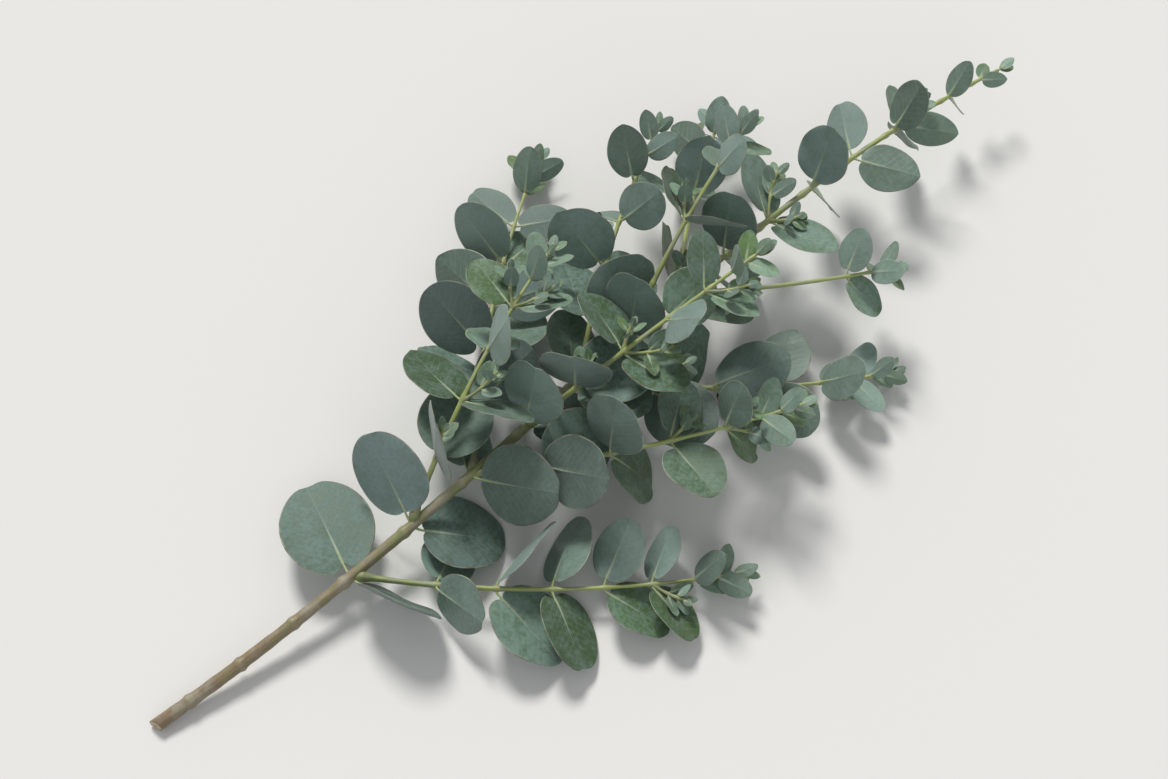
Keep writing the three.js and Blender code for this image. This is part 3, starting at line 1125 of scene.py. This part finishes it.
def add_leaf_relief(nodes, leaf, veins):
    """Veins that are sunk into the upper skin and stand out of the lower one."""
    ribs = nodes.times(veins, nodes.range(leaf.under, 0.0, 1.0, -0.28, 0.7))
    net = nodes.times(leaf.net, nodes.range(leaf.under, 0.0, 1.0, -0.12, 0.2))
    dents = nodes.add(nodes.times(leaf.grain, 0.45), nodes.times(leaf.patches, 1.2))
    nodes.bump(nodes.add(nodes.add(ribs, net), dents), 0.5, 0.0003)


def leaf_material():
    nodes = Nodes("eucalyptus_leaf")
    leaf = read_leaf(nodes)
    wax = wax_cover(nodes, leaf)
    veins = side_veins(nodes, leaf)
    colour = blade_colour(nodes, leaf, wax)
    colour = add_veins(nodes, leaf, colour, veins)
    colour = add_blemishes(nodes, leaf, colour)
    colour = add_margin(nodes, leaf, colour)
    stalk = nodes.mix(nodes.range(leaf.grain, 0.4, 0.7), STALK, VEIN)
    colour = nodes.mix(leaf.stalk, colour, stalk)
    dullness = nodes.range(wax, 0.2, 0.9, 0.42, 0.62)
    roughness = nodes.add(dullness, nodes.range(leaf.grain, 0.3, 0.7, -0.05, 0.05))
    nodes.surface({
        "Base Color": colour, "Roughness": roughness, "Specular IOR Level": 0.35,
        "Sheen Weight": 0.12, "Sheen Roughness": 0.5,
    })
    add_leaf_relief(nodes, leaf, veins)
    return nodes.material


# ---- bark material

BARK_YOUNG = (0.340, 0.400, 0.125)
BARK_GREEN = (0.215, 0.250, 0.100)
BARK_OLD = (0.185, 0.130, 0.085)
BARK_RED = (0.240, 0.130, 0.080)
BARK_WAX = (0.450, 0.490, 0.400)
SCAR = (0.360, 0.320, 0.210)
WOOD = (0.560, 0.480, 0.320)
WOOD_DARK = (0.420, 0.340, 0.210)
PITH = (0.300, 0.200, 0.120)
CAMBIUM = (0.230, 0.270, 0.100)

# How a pattern is stretched around, along and around the stem
STREAKS = (1.6, 0.09, 1.6)
PORES = (1.0, 0.45, 1.0)


def bark_colour(nodes, age, streak, wax):
    """Yellow-green while young, then green, then a streaky red-brown, under patches of wax."""
    colour = nodes.mix(nodes.range(age, 0.05, 0.45), BARK_YOUNG, BARK_GREEN)
    brown = nodes.mix(nodes.range(streak, 0.4, 0.62), BARK_OLD, BARK_RED)
    colour = nodes.mix(nodes.range(age, 0.5, 0.95), colour, brown)
    colour = nodes.mix(nodes.range(streak, 0.35, 0.7, 0.0, 0.35), colour, BARK_GREEN)
    return nodes.mix(nodes.times(wax, 0.42), colour, BARK_WAX)


def wood_colour(nodes, spot, radial):
    """The cut end: a dark pith, rays in the wood, and a green ring under the bark."""
    wood = nodes.mix(nodes.range(nodes.noise(spot, 2.2, 3.0), 0.35, 0.65), WOOD, WOOD_DARK)
    wood = nodes.mix(nodes.range(radial, 0.1, 0.28, 1.0, 0.0), wood, PITH)
    return nodes.mix(nodes.range(radial, 0.8, 0.9), wood, CAMBIUM)


def bark_material():
    nodes = Nodes("eucalyptus_bark")
    place, _ = nodes.attribute("place")
    _, (age, scar, cut) = nodes.attribute("kind")
    traits, (radial, _, _) = nodes.attribute("traits")
    spot = nodes.own_place(place, traits)
    streak = nodes.noise(nodes.stretched(spot, STREAKS), 1.0, 4.0, 0.6)
    blotch = nodes.noise(spot, 0.07, 3.0, 0.6)
    grain = nodes.noise(spot, 1.6, 3.0, 0.6)
    age = nodes.add(age, nodes.range(blotch, 0.3, 0.7, -0.14, 0.14), clamp=True)
    wax = nodes.times(nodes.range(blotch, 0.42, 0.66), nodes.range(grain, 0.3, 0.65, 0.3, 1.0))
    pores = nodes.range(nodes.cells(nodes.stretched(spot, PORES), 0.7), 0.08, 0.2, 1.0, 0.0)
    pores = nodes.times(pores, nodes.range(age, 0.3, 0.8))
    colour = bark_colour(nodes, age, streak, wax)
    colour = nodes.mix(nodes.times(pores, 0.45), colour, SCAR)
    colour = nodes.mix(nodes.times(scar, 0.7), colour, SCAR)
    colour = nodes.mix(nodes.range(cut, 0.6, 0.9), colour, wood_colour(nodes, spot, radial))
    nodes.surface({"Base Color": colour, "Roughness": nodes.range(wax, 0.0, 1.0, 0.42, 0.62)})
    relief = nodes.add(streak, nodes.times(grain, 0.4))
    nodes.bump(nodes.add(relief, nodes.times(pores, 0.5)), 0.6, 0.0004)
    return nodes.material


# ---- the branch's pieces

GREEN_SHARE = 0.24
GREEN_BLOOMS = (0.05, 0.4)
WAXY_BLOOMS = (0.6, 1.0)

# How woody each kind of axis is at its foot and its tip, and how many sides its tube has
STEM_AGES = (1.0, 0.05)
TWIG_AGES = (0.3, 0.0)
SHOOT_AGES = (0.1, 0.0)
STEM_SIDES = 40
TWIG_SIDES = 20
SHOOT_SIDES = 10

# Nodes below the first leaf pair, which have lost their leaves, as shares of the stem
BARE_NODES = (0.035, 0.088, 0.145)


def leaf_traits(youth):
    """How waxy, how young and which pattern a leaf has: a few leaves are nearly bare green."""
    if shapes.random() < GREEN_SHARE:
        bloom = shapes.between(*GREEN_BLOOMS)
    else:
        bloom = shapes.between(*WAXY_BLOOMS)
    return (bloom, youth, shapes.random())


def node_places(places, count):
    """The shares of an axis where leaf pairs sit, the young ones at its tip included."""
    return [pair_place(places, count, i) for i in range(count)] + [tip[0] for tip in TIP_LEAVES]


def build_stem(stem, bark):
    scars = []
    for index, place in enumerate(BARE_NODES):
        turn = radians(STEM_TURN + 90 * (index + 1))
        along = place * STEM_LENGTH
        scars += [(along, turn), (along, turn + pi)]
    nodes = [*BARE_NODES, *node_places(STEM_PAIRS, STEM_PAIRS["count"])]
    part = axis_part(stem, nodes, STEM_SIDES, STEM_AGES, scars)
    build_piece("stem", [part], [bark], "stem_bark", stem.name)


def build_twigs(twigs, bark):
    for index, twig in enumerate(twigs):
        nodes = node_places(TWIG_PAIRS, SIDE_TWIGS[index][-1])
        part = axis_part(twig, nodes, TWIG_SIDES, TWIG_AGES)
        build_piece(f"twig_{index + 1:02d}", [part], [bark], "twig_bark", twig.name)


def build_leaves(pairs, blade):
    for number, pair in enumerate(pairs, 1):
        for letter, leaf in zip("ab", pair.leaves):
            parts = leaf_parts(leaf, leaf_traits(pair.youth))
            name = f"leaf_{number:02d}{letter}"
            build_piece(name, parts, [blade], "leaf_blade", f"leaf_pair_{number:02d}")


def pair_parts(pair):
    return [part for leaf in pair.leaves for part in leaf_parts(leaf, leaf_traits(pair.youth))]


def build_tips(tips, blade):
    for number, pair in enumerate(tips, 1):
        build_piece(f"tip_pair_{number:02d}", pair_parts(pair), [blade], "young_leaf")


def build_shoots(shoots, blade, bark):
    for shoot in shoots:
        nodes = [pair.node.place for pair in shoot.pairs]
        stalk = axis_part(shoot, nodes, SHOOT_SIDES, SHOOT_AGES)
        stalk["material"] = 1
        parts = [stalk] + [part for pair in shoot.pairs for part in pair_parts(pair)]
        build_piece(shoot.name, parts, [blade, bark], "young_leaf")


# ---- stage, light and camera

TABLE = (0.74, 0.735, 0.72)
TABLE_SIZE = 60
BACKDROP = (0.79, 0.78, 0.76)
SKY = (0.80, 0.81, 0.82)
SKY_STRENGTH = 0.5

# Name, where the light comes from, its softness in degrees, strength and colour
SUNS = [
    ("key", (-0.62, 0.3, 0.75), 16, 2.7, (1.0, 0.98, 0.95)),
    ("fill", (0.6, -0.5, 0.6), 50, 0.35, (0.94, 0.97, 1.0)),
]

# Degrees, metres from the middle of the branch, metres, and millimetres
CAMERA_HEADING = 48
CAMERA_HEIGHT = 64
CAMERA_AIM = (0.011, -0.031, -0.010)
CAMERA_DISTANCE = 1.21
CAMERA_LENS = 62


def build_stage():
    nodes = Nodes("pale_table")
    nodes.surface({"Base Color": TABLE, "Roughness": 0.85, "Specular IOR Level": 0.2})
    bpy.ops.mesh.primitive_plane_add(size=TABLE_SIZE, location=(0, 0, 0))
    table = bpy.context.object
    table.name = "table"
    table.data.materials.append(nodes.material)


def add_sun(name, direction, softness, strength, colour):
    light = bpy.data.lights.new(name, "SUN")
    light.angle = radians(softness)
    light.energy = strength
    light.color = colour
    lamp = bpy.data.objects.new(name, light)
    lamp.rotation_euler = Vector(direction).to_track_quat("Z", "Y").to_euler()
    bpy.context.scene.collection.objects.link(lamp)


def build_world():
    """Even light from all around, which the camera sees as a backdrop of the table's own tone."""
    world = bpy.data.worlds.new("studio")
    world.use_nodes = True
    nodes, links = world.node_tree.nodes, world.node_tree.links
    light = nodes["Background"]
    backdrop = nodes.new("ShaderNodeBackground")
    mix = nodes.new("ShaderNodeMixShader")
    light.inputs["Color"].default_value = (*SKY, 1)
    light.inputs["Strength"].default_value = SKY_STRENGTH
    backdrop.inputs["Color"].default_value = (*BACKDROP, 1)
    is_seen = nodes.new("ShaderNodeLightPath").outputs["Is Camera Ray"]
    for source, target in zip((is_seen, light.outputs[0], backdrop.outputs[0]), mix.inputs):
        links.new(source, target)
    links.new(mix.outputs[0], nodes["World Output"].inputs["Surface"])
    bpy.context.scene.world = world


def build_camera():
    """Looks down on the branch, so that its tip points up and to the right."""
    low, high = (Vector(corner) for corner in CAD_BOX)
    target = (low + high) / 2 + Vector(CAMERA_AIM)
    heading = radians(CAMERA_HEADING)
    height = radians(CAMERA_HEIGHT)
    back = Vector((sin(heading), -cos(heading), 0)) * cos(height)
    camera = bpy.data.objects.new("camera", bpy.data.cameras.new("camera"))
    camera.location = target + (back + Vector((0, 0, sin(height)))) * CAMERA_DISTANCE
    camera.rotation_euler = (target - camera.location).to_track_quat("-Z", "Y").to_euler()
    camera.data.lens = CAMERA_LENS
    bpy.context.scene.collection.objects.link(camera)
    bpy.context.scene.camera = camera


# ---- the scene

stem, twigs, pairs, tips = grow_branch()
check_against_frame(pairs)
bark = bark_material()
blade = leaf_material()
build_stem(stem, bark)
build_twigs(twigs, bark)
build_leaves(pairs, blade)
build_tips(tips, blade)
build_shoots(grow_shoots(pairs), blade, bark)
build_stage()
build_world()
for sun in SUNS:
    add_sun(*sun)
build_camera()
bpy.context.scene.view_settings.view_transform = "Standard"
